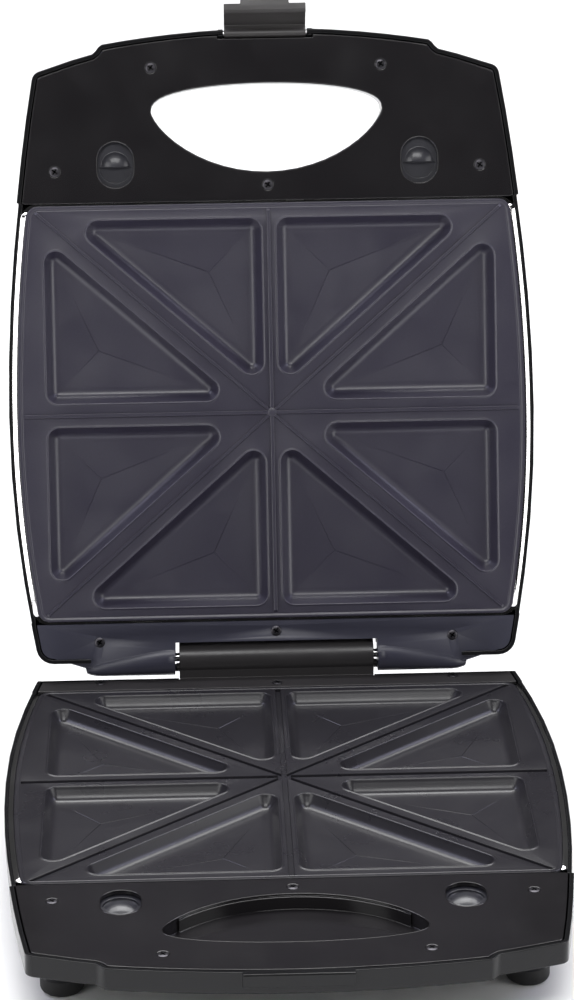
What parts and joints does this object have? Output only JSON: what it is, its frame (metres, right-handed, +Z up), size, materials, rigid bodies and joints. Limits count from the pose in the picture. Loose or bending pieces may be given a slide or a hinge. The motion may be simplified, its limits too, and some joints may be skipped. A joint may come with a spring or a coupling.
{
  "type": "sandwich toaster",
  "caption": "Countertop sandwich toaster standing open on rubber feet, with a hinged lid, triangular-pocket plates, sliding plate catches, a handle opening and a swinging latch clip.",
  "frame": {"origin": "middle of the open toaster's footprint, on the surface it stands on", "axes": "+X to the right seen from the front, +Y towards the hinge at the rear, +Z up"},
  "size_m": [0.298, 0.4664, 0.4134],
  "materials": {
    "housing_black": "gloss",
    "deck_black": "satin",
    "plate_coating": "satin",
    "polished_steel": "polished",
    "ceramic": "matte",
    "rubber": "matte",
    "wire_sleeve": "satin",
    "lamp_red": "gloss",
    "lamp_green": "gloss",
    "nylon_white": "satin"
  },
  "bodies": {
    "base": {"base_shell": "housing_black", "base_front_deck": "deck_black", "base_rear_deck": "deck_black", "base_heat_tray": "polished_steel", "base_plate": "plate_coating", "base_element": "polished_steel", "base_element_seats": "ceramic", "base_catch_spring_left": "polished_steel", "base_catch_spring_right": "polished_steel", "base_deck_screws": "polished_steel", "rubber_feet": "rubber", "foot_screws": "polished_steel", "hinge_pin": "polished_steel", "cord_gland": "deck_black", "terminal_block": "nylon_white", "thermostat": "polished_steel", "thermal_fuse": "nylon_white", "base_leads": "wire_sleeve"},
    "lid": {"lid_shell": "housing_black", "lid_front_deck": "deck_black", "lid_rear_deck": "deck_black", "lid_heat_tray": "polished_steel", "lid_plate": "plate_coating", "lid_element": "polished_steel", "lid_element_seats": "ceramic", "lid_catch_spring_left": "polished_steel", "lid_catch_spring_right": "polished_steel", "lid_deck_screws": "polished_steel", "lid_leads": "wire_sleeve", "power_lamp": "lamp_red", "ready_lamp": "lamp_green", "lamp_holders": "nylon_white", "clip_pin": "polished_steel"},
    "clip": {"latch_clip": "housing_black"},
    "base_catch_left_slider": {"base_catch_left": "deck_black"},
    "base_catch_right_slider": {"base_catch_right": "deck_black"},
    "lid_catch_left_slider": {"lid_catch_left": "deck_black"},
    "lid_catch_right_slider": {"lid_catch_right": "deck_black"}
  },
  "joints": [
    {"name": "lid_hinge", "type": "hinge", "parent": "base", "child": "lid", "pos_m": [0, 0.12438, 0.0495], "axis": [1, 0, 0], "range_deg": [0, 106.6]},
    {"name": "latch_clip", "type": "hinge", "parent": "lid", "child": "clip", "pos_m": [0, 0.2205, 0.38946], "axis": [1, 0, 0], "range_deg": [-10, 40]},
    {"name": "base_catch_left", "type": "slide", "parent": "base", "child": "base_catch_left_slider", "axis": [0, -1, 0], "range_m": [0, 0.005], "stiffness_N_per_m": 350, "springref_m": -0.004, "deforming": ["base_catch_spring_left"]},
    {"name": "base_catch_right", "type": "slide", "parent": "base", "child": "base_catch_right_slider", "axis": [0, -1, 0], "range_m": [0, 0.005], "stiffness_N_per_m": 350, "springref_m": -0.004, "deforming": ["base_catch_spring_right"]},
    {"name": "lid_catch_left", "type": "slide", "parent": "lid", "child": "lid_catch_left_slider", "axis": [0, 0.2857, 0.9583], "range_m": [0, 0.005], "stiffness_N_per_m": 350, "springref_m": -0.004, "deforming": ["lid_catch_spring_left"]},
    {"name": "lid_catch_right", "type": "slide", "parent": "lid", "child": "lid_catch_right_slider", "axis": [0, 0.2857, 0.9583], "range_m": [0, 0.005], "stiffness_N_per_m": 350, "springref_m": -0.004, "deforming": ["lid_catch_spring_right"]}
  ]
}
